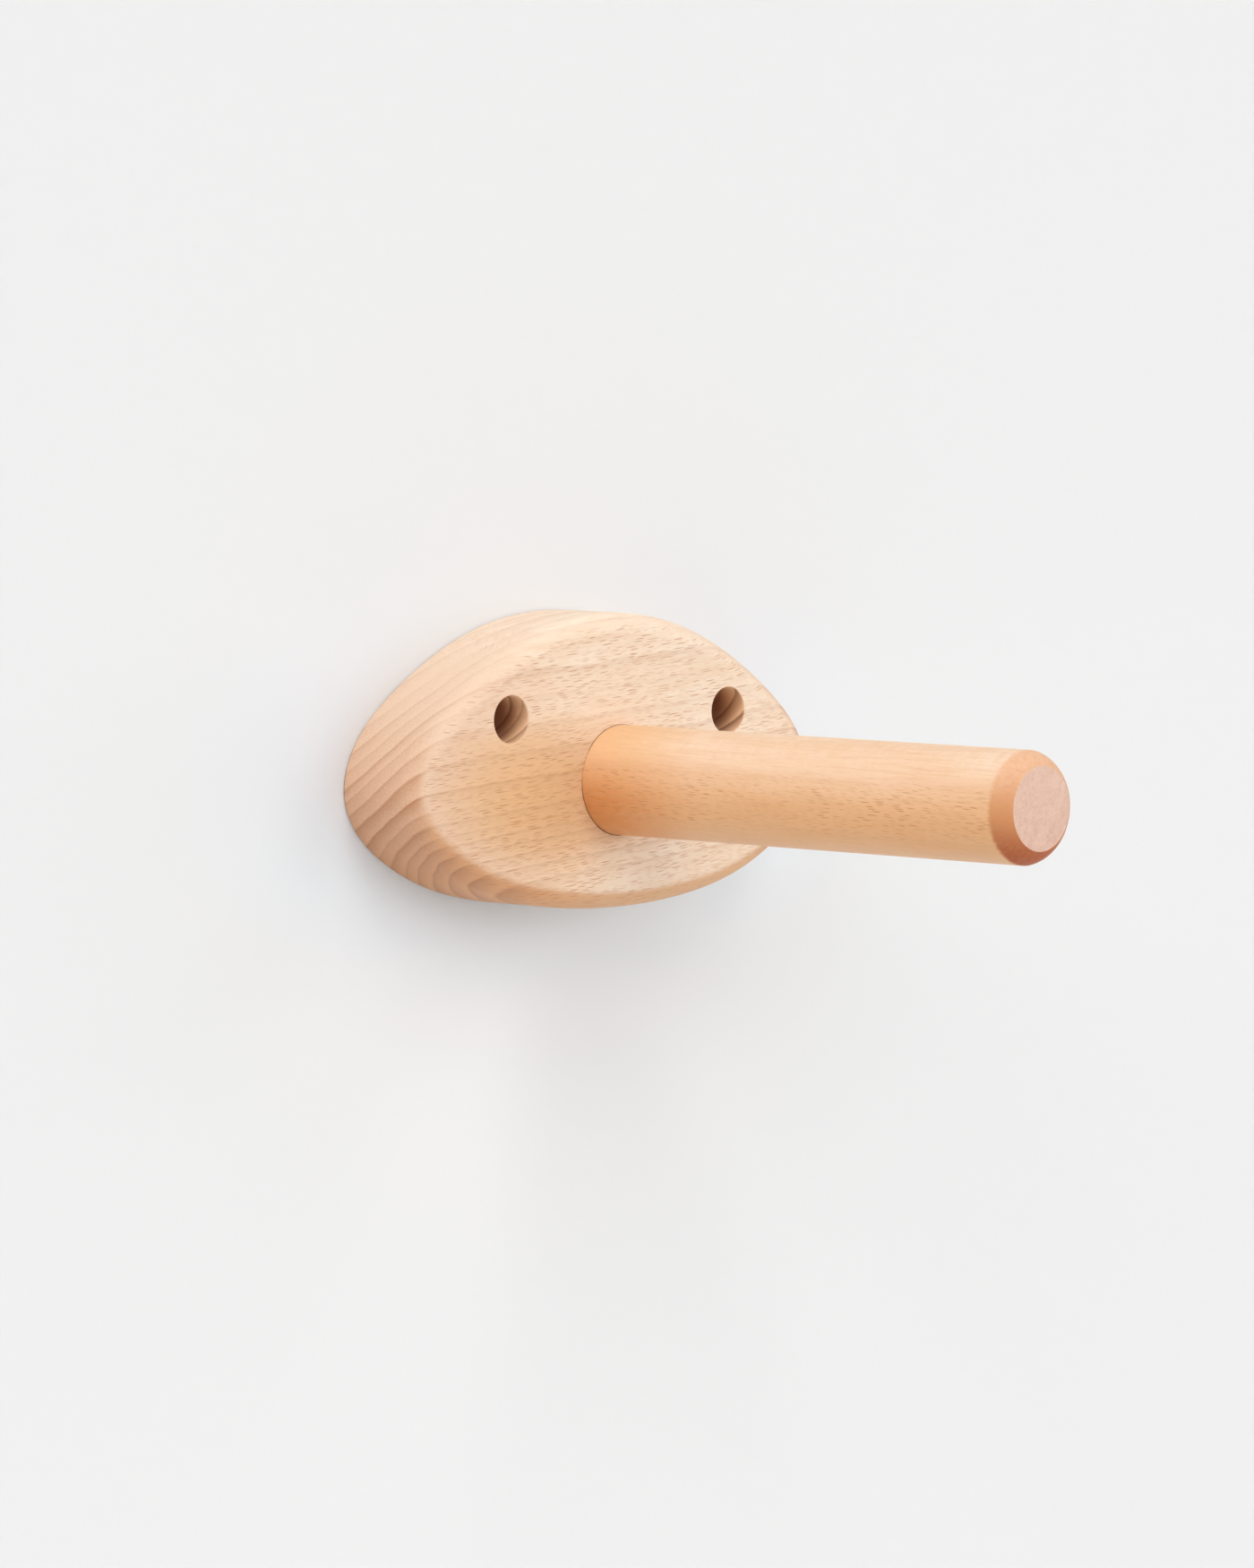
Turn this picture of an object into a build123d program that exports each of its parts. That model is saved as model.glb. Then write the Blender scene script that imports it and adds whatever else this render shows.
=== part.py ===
from build123d import *
import math
import os

# Wall-mounted wooden peg: a pebble-shaped beech backplate with one long round
# peg standing straight out of it, fixed to a wall with two screws whose heads
# sit deep in counterbored holes.
#
# Frame: millimetres.  The origin is on the wall plane, on the peg's axis.
# -Y points out of the wall towards the room, +Z is up, +X is to the right
# seen from the room.

# ---------------------------------------------------------------- dimensions
plate_thickness = 25.5          # wall plane to front face
plate_front_radius = 5.3        # rounded front rim
plate_back_ease = 0.4           # sanded back rim

# right half of the plate's outline, from the top centre to the bottom centre;
# the left half is its mirror image
plate_half_outline = [
    (0.0, 42.4),
    (13.1, 41.4),
    (25.8, 38.6),
    (38.0, 33.8),
    (48.3, 28.2),
    (58.9, 20.9),
    (68.0, 12.1),
    (72.3, 3.7),
    (73.0, -1.6),
    (71.6, -7.4),
    (67.7, -13.2),
    (59.8, -19.5),
    (48.3, -25.4),
    (36.4, -29.1),
    (23.2, -31.4),
    (11.1, -32.5),
    (0.0, -32.8),
]

peg_diameter = 28.0
peg_reach = 140.4               # front face of the plate to the peg's tip
peg_tip_round_length = 4.7      # rounded bevel between the rod and the flat end
peg_tip_round_angle = 15.0      # its slope where it leaves the rod, in degrees
peg_tip_flat_diameter = 20.7    # flat end face
peg_seat_depth = 15.0           # length of the peg glued inside the plate
peg_seat_diameter = 27.6         # the hidden end, turned slightly smaller for the glue
peg_socket_diameter = 28.1       # leaves a hairline joint round the peg's foot
peg_seat_gap = 0.12             # glue below the peg's hidden end
peg_seat_chamfer = 1.2          # lead-in on the peg's hidden end

screw_hole_spacing = 79.0       # centre to centre
screw_hole_height = 16.5        # above the peg's axis
screw_hole_diameter = 12.0      # counterbore
screw_hole_ease = 0.2           # broken mouth edge
screw_hole_depth = 15.0         # front face to the counterbore's floor
screw_clearance_diameter = 5.0

wall_screw_diameter = 4.5       # countersunk wood screw, 4.5 x 45: thread
wall_screw_shank_diameter = 3.3
wall_screw_length = 45.0
wall_screw_thread_length = 30.0  # point included
wall_screw_head_diameter = 8.8
wall_screw_point = 6.0

peg_screw_diameter = 5.0        # countersunk wood screw, 5 x 40, from the back
peg_screw_shank_diameter = 3.6
peg_screw_length = 40.0
peg_screw_thread_length = 28.0
peg_screw_head_diameter = 9.6
peg_screw_head_recess = 0.6     # head sits below the wall plane
peg_screw_point = 6.5
peg_screw_clearance_diameter = 5.5

drive_width = 1.0               # cross recess
drive_span = 4.6
drive_depth = 2.3

# ------------------------------------------------------------------- helpers
# Round solids are built about +Z and turned so that their +Z points out of
# the wall (-Y).


def out_of_wall(shape, x, y, z):
    return Pos(x, y, z) * Rot(90, 0, 0) * shape


def turned(profile):
    """Solid of revolution about +Z from (radius, height) points."""
    face = make_face(Polyline(*[(r, 0, h) for r, h in profile], close=True))
    return revolve(face, Axis.Z)


def countersunk_screw(diameter, shank_diameter, length, thread_length, head_diameter, point):
    """Screw about Z with its head's top at z = 0 and its point at -length."""
    r, rs, rh = diameter / 2, shank_diameter / 2, head_diameter / 2
    cone = rh - rs
    rim = 0.25
    thread_top = -length + thread_length
    body = turned(
        [
            (0, 0),
            (rh - 0.1, 0),
            (rh, -0.1),
            (rh, -rim),
            (rs, -rim - cone),
            (rs, thread_top),
            (r, thread_top - (r - rs)),
            (r, -length + point),
            (0.25, -length),
            (0, -length),
        ]
    )
    arm = Box(drive_span, drive_width, 2 * drive_depth)
    cross = arm + Rot(0, 0, 90) * arm
    taper = Cone(0.8, drive_span / 2, drive_depth, align=(Align.CENTER, Align.CENTER, Align.MAX))
    return body - (cross & taper)


def screw_seat(diameter, head_diameter, floor_extra):
    """Countersink and clearance hole about Z, for a head whose top is at z = 0."""
    rh, rc = head_diameter / 2, diameter / 2
    rim = 0.25
    # the cone is the head's own cone, carried down to the clearance hole
    return turned(
        [
            (0, 0.01),
            (rh, 0.01),
            (rh, -rim),
            (rc, -rim - (rh - rc)),
            (rc, -floor_extra),
            (0, -floor_extra),
        ]
    )


# ----------------------------------------------------------------- backplate
right = [(x, z) for x, z in plate_half_outline]
left = [(-x, z) for x, z in reversed(plate_half_outline[1:-1])]
outline = Plane.XZ * Spline(*[(x, z) for x, z in right + left], periodic=True)
plate = extrude(make_face(outline), amount=plate_thickness, dir=(0, -1, 0))
front_rim = plate.faces().sort_by(Axis.Y)[0].edges()
back_rim = plate.faces().sort_by(Axis.Y)[-1].edges()
plate = fillet(front_rim, plate_front_radius)
back_rim = plate.faces().sort_by(Axis.Y)[-1].edges()
plate = chamfer(back_rim, plate_back_ease)

# socket for the peg
seat = out_of_wall(
    Cylinder(
        peg_socket_diameter / 2,
        peg_seat_depth + peg_seat_gap + 1,
        align=(Align.CENTER, Align.CENTER, Align.MIN),
    ),
    0,
    -plate_thickness + peg_seat_depth + peg_seat_gap,
    0,
)
plate -= seat

# counterbores, countersinks and clearance holes for the wall screws
bore_floor_y = -plate_thickness + screw_hole_depth
for side in (-1, 1):
    x = side * screw_hole_spacing / 2
    rb = screw_hole_diameter / 2
    cutter = turned(
        [
            (0, 0),
            (rb, 0),
            (rb, screw_hole_depth - screw_hole_ease),
            (rb + screw_hole_ease, screw_hole_depth),
            (rb + screw_hole_ease, screw_hole_depth + 1),
            (0, screw_hole_depth + 1),
        ]
    )
    plate -= out_of_wall(cutter, x, bore_floor_y, screw_hole_height)
    plate -= out_of_wall(
        screw_seat(
            screw_clearance_diameter,
            wall_screw_head_diameter,
            plate_thickness - screw_hole_depth + 1,
        ),
        x,
        bore_floor_y,
        screw_hole_height,
    )

# countersink and clearance hole for the peg screw, from the back
peg_head_y = -peg_screw_head_recess
plate -= Rot(0, 0, 180) * out_of_wall(
    screw_seat(
        peg_screw_clearance_diameter,
        peg_screw_head_diameter,
        plate_thickness - peg_seat_depth + 1,
    ),
    0,
    -peg_head_y,
    0,
)
plate -= Rot(0, 0, 180) * out_of_wall(
    Cylinder(
        peg_screw_head_diameter / 2 + 0.2,
        2,
        align=(Align.CENTER, Align.CENTER, Align.MIN),
    ),
    0,
    -peg_head_y,
    0,
)

# ----------------------------------------------------------------------- peg
rp = peg_diameter / 2
rh = peg_seat_diameter / 2
rf = peg_tip_flat_diameter / 2
peg_total = peg_reach + peg_seat_depth
bevel_start = peg_total - peg_tip_round_length
# the bevel's profile is an arc
chord = math.hypot(peg_tip_round_length, rp - rf)
slope = math.radians(peg_tip_round_angle)
half_turn = math.atan2(rp - rf, peg_tip_round_length) - slope
bevel_radius = chord / (2 * math.sin(half_turn))
bevel_middle = (
    rp - bevel_radius * (math.cos(slope) - math.cos(slope + half_turn)),
    0,
    bevel_start + bevel_radius * (math.sin(slope + half_turn) - math.sin(slope)),
)
straight = Polyline(
    (rf, 0, peg_total),
    (0, 0, peg_total),
    (0, 0, 0),
    (rh - peg_seat_chamfer, 0, 0),
    (rh, 0, peg_seat_chamfer),
    (rh, 0, peg_seat_depth),
    (rp, 0, peg_seat_depth),
    (rp, 0, bevel_start),
)
bevel = ThreePointArc((rp, 0, bevel_start), bevel_middle, (rf, 0, peg_total))
peg = revolve(make_face(Wire(straight.edges() + bevel.edges())), Axis.Z)
peg = out_of_wall(peg, 0, -plate_thickness + peg_seat_depth, 0)

# hole that the peg screw's thread has cut in the peg's hidden end
screw_in = out_of_wall(
    turned(
        [
            (0, -2),
            (peg_screw_diameter / 2 + 0.02, -2),
            (peg_screw_diameter / 2 + 0.02, 0),
            (
                peg_screw_diameter / 2 + 0.02,
                peg_screw_length
                - peg_screw_point
                - (plate_thickness - peg_seat_depth)
                + peg_screw_head_recess
                + 0.02,
            ),
            (
                0.27,
                peg_screw_length
                - (plate_thickness - peg_seat_depth)
                + peg_screw_head_recess
                + 0.05,
            ),
            (
                0,
                peg_screw_length
                - (plate_thickness - peg_seat_depth)
                + peg_screw_head_recess
                + 0.05,
            ),
        ]
    ),
    0,
    -plate_thickness + peg_seat_depth,
    0,
)
peg -= screw_in

# -------------------------------------------------------------------- screws
wall_screw = countersunk_screw(
    wall_screw_diameter,
    wall_screw_shank_diameter,
    wall_screw_length,
    wall_screw_thread_length,
    wall_screw_head_diameter,
    wall_screw_point,
)
wall_screw_left = out_of_wall(
    wall_screw, -screw_hole_spacing / 2, bore_floor_y, screw_hole_height
)
wall_screw_right = out_of_wall(
    wall_screw, screw_hole_spacing / 2, bore_floor_y, screw_hole_height
)
peg_screw = Rot(0, 0, 180) * out_of_wall(
    countersunk_screw(
        peg_screw_diameter,
        peg_screw_shank_diameter,
        peg_screw_length,
        peg_screw_thread_length,
        peg_screw_head_diameter,
        peg_screw_point,
    ),
    0,
    -peg_head_y,
    0,
)

# -------------------------------------------------------------------- output
os.makedirs("parts", exist_ok=True)
nodes = {
    "backplate": plate,
    "peg": peg,
    "peg_screw": peg_screw,
    "wall_screw_left": wall_screw_left,
    "wall_screw_right": wall_screw_right,
}
for name, shape in nodes.items():
    box = shape.bounding_box()
    print(
        f"{name}: volume {shape.volume:.1f} mm3, solids {len(shape.solids())}, "
        f"x {box.min.X:.2f}..{box.max.X:.2f}, y {box.min.Y:.2f}..{box.max.Y:.2f}, "
        f"z {box.min.Z:.2f}..{box.max.Z:.2f}"
    )
    export_step(shape, f"parts/{name}.step")
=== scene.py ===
import bpy, bmesh, math
from mathutils import Matrix, Vector, geometry


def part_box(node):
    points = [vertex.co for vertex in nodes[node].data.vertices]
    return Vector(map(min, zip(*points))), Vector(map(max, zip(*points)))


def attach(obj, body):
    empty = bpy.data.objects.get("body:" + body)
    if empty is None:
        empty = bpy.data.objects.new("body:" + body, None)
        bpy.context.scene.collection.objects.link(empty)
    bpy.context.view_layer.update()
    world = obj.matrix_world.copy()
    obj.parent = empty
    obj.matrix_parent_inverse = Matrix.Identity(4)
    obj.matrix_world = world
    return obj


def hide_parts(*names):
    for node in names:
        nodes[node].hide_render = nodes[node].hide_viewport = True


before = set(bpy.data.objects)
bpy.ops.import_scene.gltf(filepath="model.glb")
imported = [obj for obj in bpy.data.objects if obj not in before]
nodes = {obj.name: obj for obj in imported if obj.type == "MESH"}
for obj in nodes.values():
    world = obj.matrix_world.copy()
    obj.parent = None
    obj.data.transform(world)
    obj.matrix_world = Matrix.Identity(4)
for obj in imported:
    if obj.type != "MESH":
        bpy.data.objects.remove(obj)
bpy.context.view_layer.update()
scene = bpy.context.scene

MM = 0.001
PLATE_T = 25.5 * MM          # wall plane to front face
PEG_R = 14.0
TIP_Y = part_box("peg")[0].y   # the peg's tip
HOLE_X, HOLE_Z, HOLE_R = 39.5, 16.5, 6.0


# ------------------------------------------------------------ node helpers
class Graph:
    """Short names for building a material's nodes. Lengths inside are in millimetres."""

    def __init__(self, name):
        self.mat = bpy.data.materials.new(name)
        self.mat.use_nodes = True
        self.nt = self.mat.node_tree
        self.nt.nodes.clear()
        self.out = self.nt.nodes.new("ShaderNodeOutputMaterial")
        self.x = 0

    def node(self, kind, **props):
        n = self.nt.nodes.new(kind)
        self.x += 40
        n.location = (self.x, (self.x * 7) % 600)
        for k, v in props.items():
            setattr(n, k, v)
        return n

    def put(self, sock, v):
        if isinstance(v, bpy.types.NodeSocket):
            self.nt.links.new(v, sock)
        elif v is not None:
            sock.default_value = v

    def m(self, op, a, b=None, c=None, clamp=False):
        n = self.node("ShaderNodeMath", operation=op, use_clamp=clamp)
        for s, v in zip(n.inputs, (a, b, c)):
            self.put(s, v)
        return n.outputs[0]

    def add(self, a, b): return self.m("ADD", a, b)
    def sub(self, a, b): return self.m("SUBTRACT", a, b)
    def mul(self, a, b): return self.m("MULTIPLY", a, b)
    def fma(self, a, b, c): return self.m("MULTIPLY_ADD", a, b, c)
    def pow(self, a, b): return self.m("POWER", a, b)

    def step(self, v, lo, hi, a=0.0, b=1.0):
        n = self.node("ShaderNodeMapRange", interpolation_type="SMOOTHSTEP")
        for s, x in zip(n.inputs[:5], (v, lo, hi, a, b)):
            self.put(s, x)
        return n.outputs[0]

    def lin(self, v, lo, hi, a=0.0, b=1.0):
        n = self.node("ShaderNodeMapRange", interpolation_type="LINEAR")
        for s, x in zip(n.inputs[:5], (v, lo, hi, a, b)):
            self.put(s, x)
        return n.outputs[0]

    def xyz(self, a, b, c):
        n = self.node("ShaderNodeCombineXYZ")
        for s, v in zip(n.inputs, (a, b, c)):
            self.put(s, v)
        return n.outputs[0]

    def split(self, v):
        n = self.node("ShaderNodeSeparateXYZ")
        self.put(n.inputs[0], v)
        return n.outputs[0], n.outputs[1], n.outputs[2]

    def noise(self, vec, scale=1.0, detail=2.0, rough=0.5, distortion=0.0):
        n = self.node("ShaderNodeTexNoise", noise_dimensions="3D")
        self.put(n.inputs["Vector"], vec)
        n.inputs["Scale"].default_value = scale
        n.inputs["Detail"].default_value = detail
        n.inputs["Roughness"].default_value = rough
        n.inputs["Distortion"].default_value = distortion
        return n.outputs["Fac"]

    def voronoi(self, vec, scale=1.0, randomness=1.0):
        n = self.node("ShaderNodeTexVoronoi", voronoi_dimensions="3D", feature="F1")
        self.put(n.inputs["Vector"], vec)
        n.inputs["Scale"].default_value = scale
        n.inputs["Randomness"].default_value = randomness
        r, g, b = self.split_colour(n.outputs["Color"])
        return n.outputs["Distance"], r, g, b

    def split_colour(self, c):
        n = self.node("ShaderNodeSeparateColor")
        self.put(n.inputs[0], c)
        return n.outputs[0], n.outputs[1], n.outputs[2]

    def mix(self, fac, a, b, blend="MIX"):
        n = self.node("ShaderNodeMix", data_type="RGBA", blend_type=blend)
        n.clamp_factor = True
        self.put(n.inputs[0], fac)
        self.put(n.inputs[6], a if isinstance(a, bpy.types.NodeSocket) else (*a, 1.0))
        self.put(n.inputs[7], b if isinstance(b, bpy.types.NodeSocket) else (*b, 1.0))
        return n.outputs[2]

    def bump(self, height, strength, distance, normal=None):
        n = self.node("ShaderNodeBump")
        n.inputs["Strength"].default_value = strength
        n.inputs["Distance"].default_value = distance
        self.put(n.inputs["Height"], height)
        if normal is not None:
            self.put(n.inputs["Normal"], normal)
        return n.outputs[0]

    def object_mm(self):
        """(x, y, z) in millimetres in the row frame, and the surface normal's three parts."""
        t = self.node("ShaderNodeTexCoord")
        s = self.node("ShaderNodeVectorMath", operation="SCALE")
        self.put(s.inputs[0], t.outputs["Object"])
        s.inputs["Scale"].default_value = 1000.0
        return self.split(s.outputs[0]), self.split(t.outputs["Normal"])

    def principled(self, colour, roughness, normal=None, metallic=0.0, ior=1.45, specular=0.5):
        p = self.node("ShaderNodeBsdfPrincipled")
        self.put(p.inputs["Base Color"], colour)
        self.put(p.inputs["Roughness"], roughness)
        if normal is not None:
            self.put(p.inputs["Normal"], normal)
        p.inputs["Metallic"].default_value = metallic
        p.inputs["IOR"].default_value = ior
        p.inputs["Specular IOR Level"].default_value = specular
        self.put(self.out.inputs["Surface"], p.outputs[0])
        return p


# ------------------------------------------------------------------- beech
def srgb(*c):
    return tuple((x / 255 / 12.92) if x / 255 <= 0.04045 else ((x / 255 + 0.055) / 1.055) ** 2.4 for x in c)


def ramp(g, value, lo, hi, stops):
    """A grey ramp through (position, value) stops, linear between them."""
    n = g.node("ShaderNodeValToRGB")
    cr = n.color_ramp
    cr.interpolation = "LINEAR"
    pts = sorted(((p - lo) / (hi - lo), v) for p, v in stops)
    while len(cr.elements) > 1:
        cr.elements.remove(cr.elements[-1])
    cr.elements[0].position, cr.elements[0].color = pts[0][0], (pts[0][1],) * 3 + (1,)
    for p, v in pts[1:]:
        e = cr.elements.new(p)
        e.color = (v, v, v, 1)
    g.put(n.inputs[0], g.m("DIVIDE", g.sub(value, lo), hi - lo, clamp=True))
    return g.split_colour(n.outputs[0])[0]


def dashes(g, along, across, dx, da, keep, length, thick, shift):
    """Rays cut across: short dark spindles along the fibres, in rows da apart, placed at random.
    keep is the share of places taken; length and thick are in millimetres."""
    v = g.fma(across, 1 / da, shift)
    row = g.m("FLOOR", v)
    n = g.node("ShaderNodeTexWhiteNoise", noise_dimensions="1D")
    g.put(n.inputs["W"], row)
    u = g.fma(along, 1 / dx, g.mul(n.outputs["Value"], 7.3))
    cell = g.m("FLOOR", u)
    w = g.node("ShaderNodeTexWhiteNoise", noise_dimensions="2D")
    g.put(w.inputs["Vector"], g.xyz(cell, row, 0.0))
    r, gg, b = g.split_colour(w.outputs["Color"])
    half = g.lin(gg, 0.0, 1.0, 0.28 * length / dx, 0.5 * length / dx)
    fu = g.sub(g.sub(g.sub(u, cell), 0.5), g.mul(g.sub(b, 0.5), 1 - length / dx))
    fv = g.sub(g.sub(g.sub(v, row), 0.5), g.mul(g.sub(gg, 0.5), 0.4))
    eu, ev = g.m("DIVIDE", fu, half), g.mul(fv, 2 * da / thick)
    e = g.add(g.mul(eu, eu), g.mul(ev, ev))
    return g.mul(g.mul(g.step(e, 1.0, 0.2), g.step(r, 1 - keep, 1 - keep + 0.02)), g.lin(b, 0.0, 1.0, 0.5, 1.0))


def wobble(g, v, along, a, b, la, lb, amount):
    """v, pushed about by noise of length la along the fibres and lb across them."""
    n = g.noise(g.xyz(g.mul(along, 1 / la), g.mul(a, 1 / lb), g.mul(b, 1 / lb)), 1.0, 2.0, 0.5)
    return g.fma(g.sub(n, 0.5), 2 * amount, v)


def grain(g, along, a, b):
    """Fine lines along the fibres (vessels), 0 to 1."""
    return g.noise(g.xyz(g.mul(along, 1 / 3.0), g.mul(a, 1 / 0.17), g.mul(b, 1 / 0.17)), 1.0, 2.0, 0.62)


def speckle(g, x, y, z, size):
    return g.noise(g.xyz(g.mul(x, 1 / size), g.mul(y, 1 / size), g.mul(z, 1 / size)), 1.0, 2.0, 0.6)


# late-wood lines of the plate's timber: (place through the rings in mm, strength)
RING_LINES = [
    (36.0, 0.30), (31.0, 0.35), (26.3, 0.30), (21.5, 0.60), (16.2, 0.35), (11.9, 0.50), (8.4, 0.35), (5.0, 0.70),
    (2.4, 0.40), (-0.9, 0.55), (-4.4, 0.90), (-8.3, 1.00), (-11.7, 0.45), (-14.4, 0.95), (-17.0, 0.70),
    (-19.2, 0.85), (-21.7, 0.95), (-24.3, 0.80), (-27.4, 0.90), (-31.0, 0.80)]


def ring_bands(g, q, lines, reach):
    """Just below every line the wood is darkest; it fades out further below."""
    parts = []
    for chosen in (lines[:10], lines[10:]):
        stops = []
        for i, (p, v) in enumerate(chosen):
            k = lines.index((p, v))
            gap = p - lines[k + 1][0] if k + 1 < len(lines) else 5.0
            stops += [(p + 0.16, 0.0), (p - 0.08, v), (p - min(reach, gap * 0.85), 0.0)]
        parts.append(ramp(g, q, -40.0, 40.0, stops))
    return g.m("MAXIMUM", *parts)


def plate_material():
    g = Graph("plate_beech_oiled")
    (x, y, z), (nx, ny, nz) = g.object_mm()
    slope = math.radians(5.5)  # the fibres rise slightly to the right
    cs, sn = math.cos(slope), math.sin(slope)
    along = g.add(g.mul(x, cs), g.mul(z, sn))
    up = g.sub(g.mul(z, cs), g.mul(x, sn))
    out = g.mul(y, -1.0)
    n_up = g.sub(g.mul(nz, cs), g.mul(nx, sn))
    n_out = g.mul(ny, -1.0)
    end = g.step(g.m("ABSOLUTE", g.add(g.mul(nx, cs), g.mul(nz, sn))), 0.12, 0.80)

    # growth rings, tilted in the block and curving a little
    tilt = g.lin(up, 2.0, 36.0, math.radians(28), math.radians(46))
    ct, st = g.m("COSINE", tilt), g.m("SINE", tilt)
    q = g.sub(g.mul(up, ct), g.mul(out, st))
    q = wobble(g, q, along, up, out, 60.0, 30.0, 1.4)
    q = wobble(g, q, along, up, out, 7.0, 5.0, 0.22)
    band = ring_bands(g, q, RING_LINES, 3.4)
    thin = ring_bands(g, q, RING_LINES, 0.5)
    flat = g.m("ABSOLUTE", g.sub(g.mul(n_up, ct), g.mul(n_out, st)))  # 1 where the surface follows the rings
    ring_amount = g.m("MAXIMUM", g.mul(end, g.lin(up, 30.0, 4.0, 0.34, 1.0)), g.step(flat, 0.62, 0.88, 0.14, 1.0))

    # rays: thin sheets, cut into dashes by every surface that crosses them
    k = math.radians(60)
    across = g.add(g.mul(up, math.sin(k)), g.mul(out, math.cos(k)))
    facing = g.m("ABSOLUTE", g.add(g.mul(n_up, math.sin(k)), g.mul(n_out, math.cos(k))))
    across = wobble(g, across, along, up, out, 45.0, 14.0, 0.9)
    across = wobble(g, across, along, up, out, 9.0, 2.5, 0.10)
    crossed = g.mul(g.step(facing, 0.93, 0.70), g.step(end, 0.42, 0.06))
    dense = g.noise(g.xyz(g.mul(along, 1 / 26), g.mul(up, 1 / 7), g.mul(out, 1 / 7)), 1.0, 2.0, 0.5)
    dense = g.lin(dense, 0.30, 0.56, 0.45, 1.0)
    big = g.mul(g.mul(dashes(g, along, across, 5.8, 0.50, 0.50, 5.5, 0.25, 3.3), crossed), dense)
    small = g.mul(dashes(g, along, across, 3.4, 0.37, 0.45, 3.1, 0.18, 41.9), crossed)

    pores = grain(g, along, up, out)
    grit = speckle(g, x, y, z, 0.36)
    mottle = g.noise(g.xyz(g.mul(along, 1 / 9), g.mul(up, 1 / 4), g.mul(out, 1 / 4)), 1.0, 2.0, 0.55)
    cloud = g.noise(g.xyz(g.mul(along, 1 / 45), g.mul(up, 1 / 14), g.mul(out, 1 / 14)), 1.0, 2.0, 0.5)

    streak = g.noise(g.xyz(g.mul(along, 1 / 16), g.mul(up, 1 / 0.9), g.mul(out, 1 / 2)), 1.0, 3.0, 0.6)
    side = g.mix(g.lin(cloud, 0.32, 0.68), (0.87, 0.685, 0.52), (0.89, 0.76, 0.61))
    side = g.mix(g.mul(g.lin(mottle, 0.35, 0.7), 0.35), side, (0.84, 0.62, 0.44))
    # painted shade: the long-grain surfaces are painted darker and warmer towards the left
    side = g.mix(g.lin(x, -22.0, -58.0, 0.0, 0.75), side, (0.82, 0.575, 0.42))
    # painted bounce light and shade from the peg: a warmer, more orange patch left of the peg; and painted shade,
    # darker and warmer, on the surfaces that face down
    dx, dz = g.mul(g.add(x, 29.0), 1 / 38), g.mul(g.add(g.add(z, 6.0), g.mul(x, 0.06)), 1 / 23)
    reach = g.m("SQRT", g.add(g.mul(dx, dx), g.mul(dz, dz)))
    painted_bounce_patch = g.step(wobble(g, reach, along, up, out, 30.0, 7.0, 0.16), 1.20, 0.45)
    side = g.mix(g.mul(painted_bounce_patch, 0.90), side, (0.83, 0.52, 0.285))
    side = g.mix(g.mul(g.step(reach, 0.75, 0.1), 0.5), side, (0.83, 0.47, 0.20))
    # painted shade on the surfaces that face down
    side = g.mix(g.step(n_up, -0.02, -0.40, 0.0, 0.95), side, (0.70, 0.405, 0.215))
    side = g.mix(g.mul(g.lin(streak, 0.42, 0.72), 0.34), side, (0.74, 0.47, 0.29))
    # painted shade: browner where the rim turns under on the left
    side = g.mix(g.mul(g.step(n_up, 0.05, -0.35), g.step(x, 2.0, -30.0, 0.0, 0.65)), side, (0.68, 0.33, 0.15))
    # painted light and shade on the end grain: paler at the top and darker lower down, with a lighter band along the
    # very bottom
    end_grain_and_shade = g.mix(g.lin(up, -18.0, 30.0), (0.66, 0.32, 0.165), (0.78, 0.575, 0.42))
    end_grain_and_shade = g.mix(g.step(up, -16.0, -27.0, 0.0, 0.5), end_grain_and_shade, (0.78, 0.47, 0.29))
    c = g.mix(end, side, end_grain_and_shade)
    c = g.mix(g.mul(band, ring_amount), c, (0.50, 0.235, 0.12))
    c = g.mix(g.mul(thin, g.fma(end, 0.30, 0.22)), c, (0.42, 0.18, 0.08))
    c = g.mix(g.mul(g.lin(pores, 0.45, 0.75), 0.16), c, (0.56, 0.30, 0.16))
    c = g.mix(g.mul(g.mul(g.lin(grit, 0.48, 0.72), end), 0.30), c, (0.42, 0.21, 0.11))
    c = g.mix(g.mul(g.mul(g.lin(grit, 0.46, 0.28), end), 0.13), c, (0.90, 0.74, 0.62))
    c = g.mix(g.mul(small, 0.42), c, (0.53, 0.235, 0.095))
    c = g.mix(g.mul(big, 0.80), c, (0.50, 0.21, 0.085))

    # the holes' walls: painted shade makes them darker deeper in, and painted light paler at the mouth; the rings show
    # on them as stripes
    def hole(cx):
        dx, dz = g.sub(x, cx), g.sub(z, HOLE_Z)
        return g.step(g.m("SQRT", g.add(g.mul(dx, dx), g.mul(dz, dz))), 6.14, 6.04)
    drilled = g.mul(g.mul(g.m("MAXIMUM", hole(-HOLE_X), hole(HOLE_X)), g.step(y, -25.42, -25.25)), g.step(y, -8.0, -10.0))
    hole_wall_grain_and_shade = g.mix(g.step(y, -15.5, -22.5), (0.49, 0.245, 0.145), (1.0, 0.66, 0.40))
    hole_wall_grain_and_shade = g.mix(g.mul(band, 0.8), hole_wall_grain_and_shade, (0.24, 0.09, 0.045))
    hole_wall_grain_and_shade = g.mix(g.mul(thin, 0.8), hole_wall_grain_and_shade, (0.10, 0.03, 0.015))
    c = g.mix(g.mul(drilled, 0.95), c, hole_wall_grain_and_shade)

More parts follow.
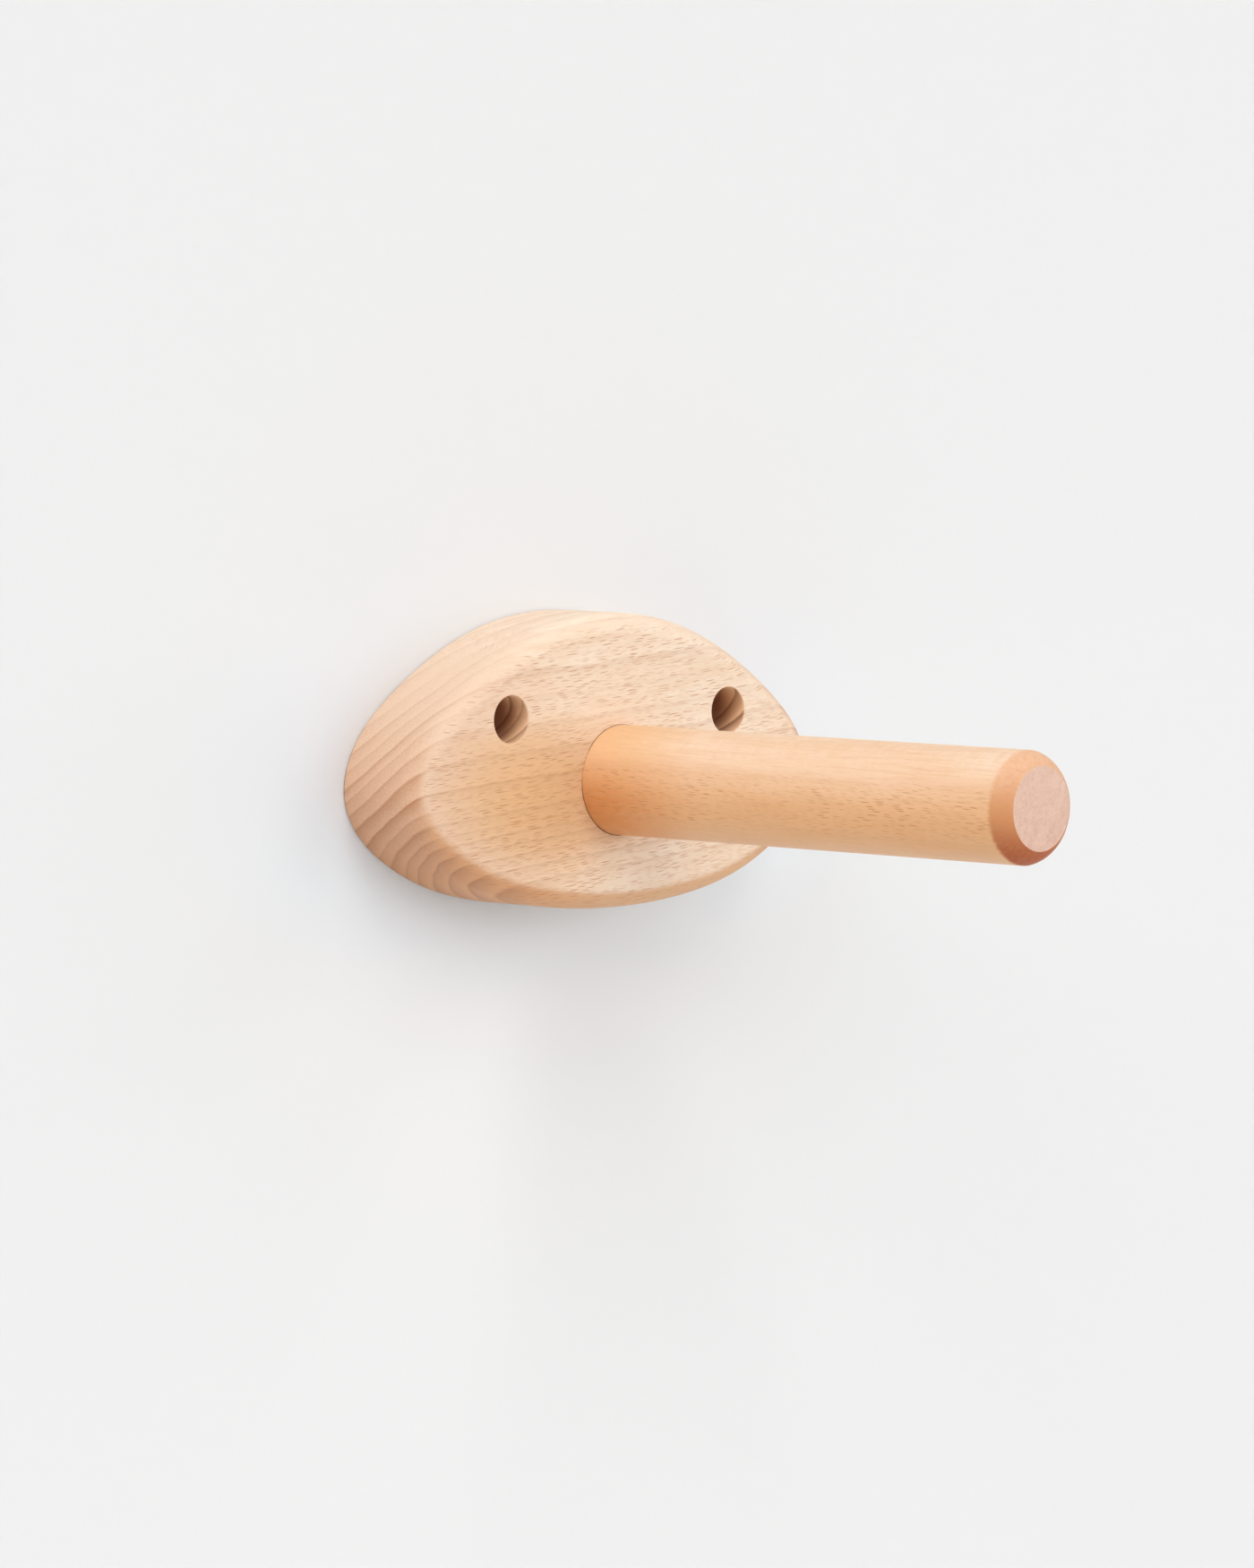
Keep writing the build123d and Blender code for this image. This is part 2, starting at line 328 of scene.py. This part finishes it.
    # the hairline joint round the peg's foot
    rad = g.m("SQRT", g.add(g.mul(x, x), g.mul(z, z)))
    turn = g.m("ARCTAN2", g.mul(x, -1.0), z)  # from the top round to the left
    chance = g.noise(g.xyz(g.mul(x, 0.35), g.mul(z, 0.35), 0.0), 1.0, 2.0, 0.6)
    strength = ramp(g, turn, -math.pi, math.pi, [
        (-3.1, 0.75), (-2.2, 0.45), (-0.8, 0.35), (0.0, 0.40), (0.35, 0.75), (0.95, 0.80), (1.05, 0.10), (1.45, 0.10),
        (1.60, 0.90), (2.75, 1.0), (3.1, 0.75)])
    width = g.lin(chance, 0.3, 0.7, 14.18, 14.36)
    joint = g.mul(g.mul(g.step(rad, width, g.sub(width, 0.14)), g.step(y, -25.2, -25.42)), strength)
    c = g.mix(g.mul(joint, 0.9), c, (0.20, 0.06, 0.02))

    height = g.sub(g.mul(pores, 0.3), g.add(g.mul(big, 0.25), g.add(g.mul(small, 0.1), g.mul(joint, 2.0))))
    rough = g.fma(end, 0.10, g.lin(pores, 0.3, 0.8, 0.52, 0.62))
    g.principled(c, rough, g.bump(height, 0.4, 0.00007), specular=0.35)
    return g.mat


def peg_material():
    g = Graph("peg_beech_oiled")
    (x, y, z), (nx, ny, nz) = g.object_mm()
    a = math.radians(101)  # where the rings face outwards, from the top round to the left
    rx, rz = -math.sin(a), math.cos(a)
    ring = g.add(g.mul(x, rx), g.mul(z, rz))
    across = g.sub(g.mul(z, rx), g.mul(x, rz))
    along = y
    n_ring = g.m("ABSOLUTE", g.add(g.mul(nx, rx), g.mul(nz, rz)))
    end = g.step(g.m("ABSOLUTE", ny), 0.90, 0.99)

    across_w = g.fma(along, 0.035, across)  # the fibres aren't quite along the peg
    across_w = wobble(g, across_w, along, across, ring, 45.0, 14.0, 0.8)
    across_w = wobble(g, across_w, along, across, ring, 9.0, 2.5, 0.10)
    crossed = g.mul(g.step(n_ring, 0.80, 0.95), g.step(g.m("ABSOLUTE", ny), 0.6, 0.2))
    dense = g.noise(g.xyz(g.mul(along, 1 / 22), g.mul(across, 1 / 4), g.mul(ring, 1 / 9)), 1.0, 2.0, 0.5)
    dense = g.lin(dense, 0.34, 0.62, 0.25, 1.0)
    big = g.mul(g.mul(dashes(g, along, across_w, 5.0, 0.50, 0.46, 4.4, 0.28, 7.7), crossed), dense)
    small = g.mul(dashes(g, along, across_w, 3.2, 0.34, 0.45, 2.8, 0.17, 23.1), g.fma(crossed, 0.8, 0.2))

    streak = g.noise(g.xyz(g.mul(along, 1 / 18), g.mul(across_w, 1 / 0.8), g.mul(ring, 1 / 0.8)), 1.0, 3.0, 0.62)
    n = g.node("ShaderNodeTexVoronoi", voronoi_dimensions="3D", feature="F1")
    g.put(n.inputs["Vector"], g.xyz(g.mul(x, 1 / 7), g.mul(along, 1 / 9), g.mul(z, 1 / 7)))
    spots = g.mul(g.step(n.outputs["Distance"], 0.13, 0.03), g.step(g.split_colour(n.outputs["Color"])[0], 0.45, 0.55))

    # rings: soft bands, seen where the surface follows them
    q = wobble(g, ring, along, across, ring, 60.0, 14.0, 1.1)
    soft = ramp(g, q, -16.0, 16.0, [(-15.9, 0.0), (-13.4, 0.6), (-13.1, 0.0), (-8.0, 0.7), (-7.6, 0.0), (-2.0, 0.6),
                                    (-1.6, 0.0), (4.0, 0.7), (4.4, 0.0), (9.2, 0.6), (9.6, 0.1), (12.6, 0.9), (12.9, 0.1), (15.9, 0.6)])
    # figure across the fibres, on the smooth side
    figure = g.noise(g.xyz(g.mul(along, 1 / 2.6), g.mul(across, 1 / 5), g.mul(ring, 1 / 9)), 1.0, 3.0, 0.6)
    pores = grain(g, along, across_w, ring)
    cloud = g.noise(g.xyz(g.mul(along, 1 / 40), g.mul(across, 1 / 9), g.mul(ring, 1 / 9)), 1.0, 2.0, 0.5)
    # the end face is sanded crosswise: short scratches on a slant
    u, v = g.mul(g.add(x, z), 0.7071), g.mul(g.sub(z, x), 0.7071)
    grit = speckle(g, g.mul(u, 0.4), g.mul(y, 0.4), v, 0.42)
    grit2 = speckle(g, g.mul(u, 0.6), y, v, 1.7)

    # painted light and shade: paler on top, richer below, and a painted warm bounce glow richest next to the plate
    low = g.step(z, 12.0, -5.0)
    painted_lit_top_tone = g.mix(g.lin(cloud, 0.32, 0.68), (0.84, 0.58, 0.395), (0.87, 0.65, 0.48))
    painted_shade_low_tone = g.mix(g.lin(cloud, 0.32, 0.68), (0.79, 0.425, 0.20), (0.82, 0.475, 0.245))
    side = g.mix(low, painted_lit_top_tone, painted_shade_low_tone)
    # painted reflected light: a paler, pinker band along the bottom of the peg
    side = g.mix(g.step(z, -9.5, -13.6, 0.0, 0.45), side, (0.83, 0.54, 0.36))
    # painted bounce light next to the plate: deep orange on the lower half, warmer orange on the upper half
    foot = g.step(y, -66.0, -30.0)
    side = g.mix(g.mul(g.mul(foot, low), 0.90), side, (0.69, 0.255, 0.07))
    side = g.mix(g.mul(g.mul(foot, g.sub(1.0, low)), 0.75), side, (0.85, 0.50, 0.235))
    side = g.mix(g.mul(g.lin(figure, 0.42, 0.72), g.lin(n_ring, 0.9, 0.3, 0.08, 0.50)), side, (0.79, 0.49, 0.27))
    side = g.mix(g.mul(g.lin(streak, 0.45, 0.72), 0.40), side, (0.70, 0.39, 0.19))
    side = g.mix(g.mul(spots, 0.35), side, (0.62, 0.32, 0.14))
    side = g.mix(g.mul(soft, g.step(n_ring, 0.70, 1.0, 0.05, 0.22)), side, (0.66, 0.34, 0.17))
    side = g.mix(g.mul(g.lin(pores, 0.45, 0.75), 0.18), side, (0.56, 0.28, 0.13))
    side = g.mix(g.mul(small, 0.40), side, (0.52, 0.225, 0.085))
    side = g.mix(g.mul(big, 0.85), side, (0.48, 0.185, 0.06))

    face = g.mix(g.lin(grit2, 0.35, 0.65), (0.66, 0.415, 0.315), (0.73, 0.49, 0.385))
    # painted light: the end face is painted paler towards the top
    face = g.mix(g.step(z, -8.0, 9.0, 0.0, 0.5), face, (0.76, 0.53, 0.415))
    face = g.mix(g.mul(g.lin(grit, 0.50, 0.75), 0.36), face, (0.48, 0.25, 0.17))
    face = g.mix(g.mul(g.lin(grit, 0.48, 0.28), 0.24), face, (0.86, 0.66, 0.55))
    c = g.mix(end, side, face)

    # the rounded bevel is darker, as end grain is; painted shade makes it darkest underneath, and painted light paler
    # on top
    rad = g.m("SQRT", g.add(g.mul(x, x), g.mul(z, z)))
    ragged = g.noise(g.xyz(g.mul(x, 1.6), g.mul(y, 0.35), g.mul(z, 1.6)), 1.0, 3.0, 0.7)
    start = g.add(y, g.mul(g.sub(ragged, 0.5), 1.5))
    bevel = g.mul(g.step(start, -160.5, -161.9), g.step(rad, 10.27, 10.42))
    streak = g.noise(g.xyz(g.mul(x, 1.1), g.mul(y, 0.3), g.mul(z, 1.1)), 1.0, 3.0, 0.65)
    dark = g.mix(g.step(z, -13.0, 1.0), (0.41, 0.085, 0.02), (0.63, 0.275, 0.115))
    dark = g.mix(g.step(z, -1.0, 12.0), dark, (0.78, 0.46, 0.28))
    dark = g.mix(g.mul(g.lin(streak, 0.4, 0.7), 0.30), dark, (0.58, 0.24, 0.09))
    c = g.mix(g.mul(bevel, 0.97), c, dark)

    height = g.sub(g.mul(pores, 0.3), g.add(g.mul(big, 0.25), g.mul(small, 0.1)))
    rough = g.fma(end, 0.12, g.lin(pores, 0.3, 0.8, 0.50, 0.60))
    g.principled(c, rough, g.bump(height, 0.35, 0.00006), specular=0.35)
    return g.mat


def steel_material():
    g = Graph("zinc_plated_steel")
    (x, y, z), (nx, ny, nz) = g.object_mm()
    blotch = g.noise(g.xyz(g.mul(x, 0.6), g.mul(y, 0.25), g.mul(z, 0.6)), 1.0, 3.0, 0.6)
    scratch = g.noise(g.xyz(g.mul(x, 3.0), g.mul(y, 0.5), g.mul(z, 3.0)), 1.0, 3.0, 0.65)
    colour = g.mix(blotch, srgb(186, 186, 182), srgb(206, 207, 206))
    rough = g.lin(g.fma(scratch, 0.5, g.mul(blotch, 0.5)), 0.3, 0.7, 0.26, 0.44)
    g.principled(colour, rough, g.bump(scratch, 0.15, 0.00003), metallic=1.0)
    return g.mat


plate_mat, peg_mat, steel_mat = plate_material(), peg_material(), steel_material()


def dress(obj, mat):
    if obj.data.materials:
        for i in range(len(obj.data.materials)):
            obj.data.materials[i] = mat
    else:
        obj.data.materials.append(mat)


dress(nodes["backplate"], plate_mat)
dress(nodes["peg"], peg_mat)


# ------------------------------------------------------------------ screws
def cross_depth(px, py, span, width, depth):
    """How deep a tapered cross recess is at a point of the head, in mm."""
    def arm(u, v):
        # u along the arm, v across it: sloping ends, steep sides
        du = (span / 2 - abs(u)) / 0.55
        dv = (width / 2 - abs(v)) / 0.05
        return max(0.0, min(1.0, du)) * max(0.0, min(1.0, dv)) * (0.55 + 0.45 * max(0.0, 1 - abs(u) / (span / 2)))
    return depth * max(arm(px, py), arm(py, px))


def screw_mesh(name, r, rs, length, thread_len, rh, point):
    """Countersunk wood screw about its own axis: head's top at 0, point at -length. Coordinates in mm."""
    n = 96
    rows = []
    # head, from the centre of its top outwards
    for i in range(1, 45):
        rad = (rh - 0.18) * i / 44
        rows.append([(rad, -cross_depth(rad * math.cos(2 * math.pi * k / n), rad * math.sin(2 * math.pi * k / n), 4.6, 1.05, 2.0)) for k in range(n)])
    for rad, h in ((rh - 0.06, -0.03), (rh - 0.01, -0.09), (rh, -0.15), (rh, -0.25)):
        rows.append([(rad, h)] * n)
    steps = 10
    for i in range(1, steps + 1):
        t = i / steps
        rad = rh + (rs - rh) * t
        h = -0.25 - (rh - rs) * t
        rows.append([(rad, h)] * n)
    top = -length + thread_len
    h = -0.25 - (rh - rs)
    while h - 1.0 > top + 0.4:
        h -= 1.0
        rows.append([(rs, h)] * n)
    pitch, core = r * 0.95, r * 0.62
    h = top + 0.3
    dz = 0.11
    while h > -length + 0.02:
        row = []
        taper = min(1.0, (h + length) / point)
        start = min(1.0, max(0.0, (top - h) / 1.5))
        for k in range(n):
            ph = (h / pitch - k / n) % 1.0
            ridge = max(0.0, 1 - abs(ph - 0.5) / 0.2) ** 0.85
            base = rs + (core - rs) * start
            crest = base + (r - base) * ridge * start
            tp = taper ** 0.8
            row.append((max(0.06, (base * tp + (crest - base) * min(1.0, tp * 1.25))), h))
        rows.append(row)
        h -= dz
    bm = bmesh.new()
    centre = bm.verts.new((0, 0, -2.0))
    loops = []
    for row in rows:
        loops.append([bm.verts.new((rad * math.cos(2 * math.pi * k / n), rad * math.sin(2 * math.pi * k / n), hh)) for k, (rad, hh) in enumerate(row)])
    for k in range(n):
        bm.faces.new((centre, loops[0][k], loops[0][(k + 1) % n]))
    for a, b in zip(loops, loops[1:]):
        for k in range(n):
            bm.faces.new((a[k], b[k], b[(k + 1) % n], a[(k + 1) % n]))
    tipv = bm.verts.new((0, 0, -length))
    for k in range(n):
        bm.faces.new((loops[-1][k], tipv, loops[-1][(k + 1) % n]))
    bmesh.ops.recalc_face_normals(bm, faces=bm.faces)
    mesh = bpy.data.meshes.new(name)
    bm.to_mesh(mesh)
    bm.free()
    return mesh


def place_screw(name, node, mesh_args, x, y, z, into_wall):
    mesh = screw_mesh(name, *mesh_args)
    turn = Matrix.Rotation(math.radians(90 if into_wall else -90), 4, "X")
    mesh.transform(Matrix.Translation((x, y, z)) @ turn @ Matrix.Scale(MM, 4))
    for p in mesh.polygons:
        p.use_smooth = True
    mesh.set_sharp_from_angle(angle=math.radians(38))
    obj = bpy.data.objects.new(name, mesh)
    scene.collection.objects.link(obj)
    mesh.materials.append(steel_mat)
    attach(obj, "root")
    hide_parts(node)
    return obj


floor_y = -10.5 * MM
wall_args = (2.25, 1.65, 45.0, 30.0, 4.4, 6.0)
place_screw("wall_screw_left_threaded", "wall_screw_left", wall_args, -HOLE_X * MM, floor_y, HOLE_Z * MM, True)
place_screw("wall_screw_right_threaded", "wall_screw_right", wall_args, HOLE_X * MM, floor_y, HOLE_Z * MM, True)
place_screw("peg_screw_threaded", "peg_screw", (2.5, 1.8, 40.0, 28.0, 4.8, 6.5), 0.0, -0.6 * MM, 0.0, False)


# ------------------------------------------------------------------- stage
def plane(name, corners, mat):
    mesh = bpy.data.meshes.new(name)
    mesh.from_pydata(corners, [], [(0, 1, 2, 3)])
    mesh.materials.append(mat)
    obj = bpy.data.objects.new(name, mesh)
    scene.collection.objects.link(obj)
    return obj


def wall_material():
    # one-sided, so the wall doesn't hide the object's back in a view from behind it
    g = Graph("wall_paint")
    geo = g.node("ShaderNodeNewGeometry")
    d = g.node("ShaderNodeBsdfDiffuse")
    # painted a touch cooler round the object, and cooler still below it, to cancel the warm light that the wood throws
    # on the wall
    (x, y, z), _ = g.object_mm()
    ex, ez = g.mul(x, 1 / 73), g.mul(g.sub(z, 4.8), 1 / 37.6)
    e = g.m("SQRT", g.add(g.mul(ex, ex), g.mul(ez, ez)))
    painted_cool_cast = g.mix(g.step(z, 4.0, -30.0), (0.793, 0.807, 0.826), (0.79, 0.842, 0.880))
    g.put(d.inputs["Color"], g.mix(g.step(e, 1.9, 0.95), (0.80, 0.80, 0.80), painted_cool_cast))
    t = g.node("ShaderNodeBsdfTransparent")
    mx = g.node("ShaderNodeMixShader")
    g.put(mx.inputs[0], geo.outputs["Backfacing"])
    g.put(mx.inputs[1], d.outputs[0])
    g.put(mx.inputs[2], t.outputs[0])
    g.put(g.out.inputs["Surface"], mx.outputs[0])
    return g.mat


def floor_material():
    g = Graph("floor_paint")
    g.principled((0.80, 0.80, 0.80, 1), 0.9, specular=0.1)
    return g.mat


W, H0, H1 = 8.0, -1.75, 8.0
BEHIND = 0.1 * MM  # clear of the plate's back, so the two don't lie in one plane


def wall_round(node):
    """The wall, open where the plate's back covers it, so that light from behind reaches the back."""
    back = nodes[node]
    flat = [back.matrix_world @ v.co for v in back.data.vertices]
    flat = [(v.x, v.z) for v in flat if v.y > -0.01 * MM]
    outline = [flat[i] for i in geometry.convex_hull_2d(flat)]
    edge = [(-W, H0), (W, H0), (W, H1), (-W, H1)]
    loops = [[Vector((a, b, 0.0)) for a, b in loop] for loop in (edge, outline)]
    verts = [(a, BEHIND, b) for a, b in edge + outline]
    faces = []
    for t in geometry.tessellate_polygon(loops):
        a, b, c = (Vector(verts[i]) for i in t)
        faces.append(tuple(t) if (b - a).cross(c - a).y < 0 else tuple(reversed(t)))
    mesh = bpy.data.meshes.new("stage_wall")
    mesh.from_pydata(verts, [], faces)
    mesh.materials.append(wall_material())
    obj = bpy.data.objects.new("stage_wall", mesh)
    scene.collection.objects.link(obj)


wall_round("backplate")
plane("stage_floor", [(-W, -W, H0), (W, -W, H0), (W, W, H0), (-W, W, H0)], floor_material())


# ------------------------------------------------------------------ lights
def sun(name, azimuth, elevation, angle, strength, colour=(1, 1, 1)):
    """Light from a direction: azimuth 0 is straight in front of the wall, positive to the right."""
    data = bpy.data.lights.new(name, "SUN")
    data.energy, data.angle, data.color = strength, math.radians(angle), colour
    obj = bpy.data.objects.new(name, data)
    a, e = math.radians(azimuth), math.radians(elevation)
    towards = Vector((math.sin(a) * math.cos(e), -math.cos(a) * math.cos(e), math.sin(e)))
    obj.rotation_mode = "QUATERNION"
    obj.rotation_quaternion = towards.to_track_quat("Z", "Y")
    scene.collection.objects.link(obj)
    return obj


world = bpy.data.worlds.new("studio")
scene.world = world
world.use_nodes = True
world.node_tree.nodes["Background"].inputs[0].default_value = (1, 1, 1, 1)
world.node_tree.nodes["Background"].inputs[1].default_value = 0.0
# soft boxes: a wide one high on the left, a smaller one low on the right, and fill from the front
for name, azimuth, elevation, strength in (
        ("box_left", -75, 30, 1.142), ("box_left_high", -75, 55, 0.714), ("box_front_high", -15, 55, 0.65),
        ("box_front", -15, 30, 0.50), ("box_front_low", -15, 5, 0.23), ("fill_low", 15, 5, 0.36),
        ("fill_mid", 15, 30, 0.12), ("box_right", 45, 30, 0.433), ("box_right_low", 45, 5, 0.579),
        ("box_right_side", 75, 5, 0.249)):
    sun(name, azimuth, elevation, 34, 0.98 * strength)
# comes through the one-sided wall and reaches only what faces it
sun("back_fill", 180, 0, 1, 0.7)

# ------------------------------------------------------------------ camera
cam_data = bpy.data.cameras.new("camera")
cam = bpy.data.objects.new("camera", cam_data)
scene.collection.objects.link(cam)
scene.camera = cam
az, el, roll = math.radians(46.05), math.radians(3.54), math.radians(0.57)
forward = Vector((math.sin(az) * math.cos(el), math.cos(az) * math.cos(el), -math.sin(el)))
right = Vector((math.cos(az), -math.sin(az), 0.0))
up = right.cross(forward)
c, s = math.cos(roll), math.sin(roll)
right, up = c * right + s * up, c * up - s * right
rot = Matrix((right, up, -forward)).transposed()
cam.matrix_world = Matrix.Translation((-1.2806, -1.2367 - 0.0255, 0.1091)) @ rot.to_4x4()
cam_data.sensor_fit = "AUTO"
cam_data.sensor_width = 36.0
cam_data.lens = 161.42
cam_data.clip_start, cam_data.clip_end = 0.05, 60.0

scene.view_settings.view_transform = "Standard"
scene.view_settings.look = "None"
scene.view_settings.exposure = 0.0
scene.view_settings.gamma = 1.0
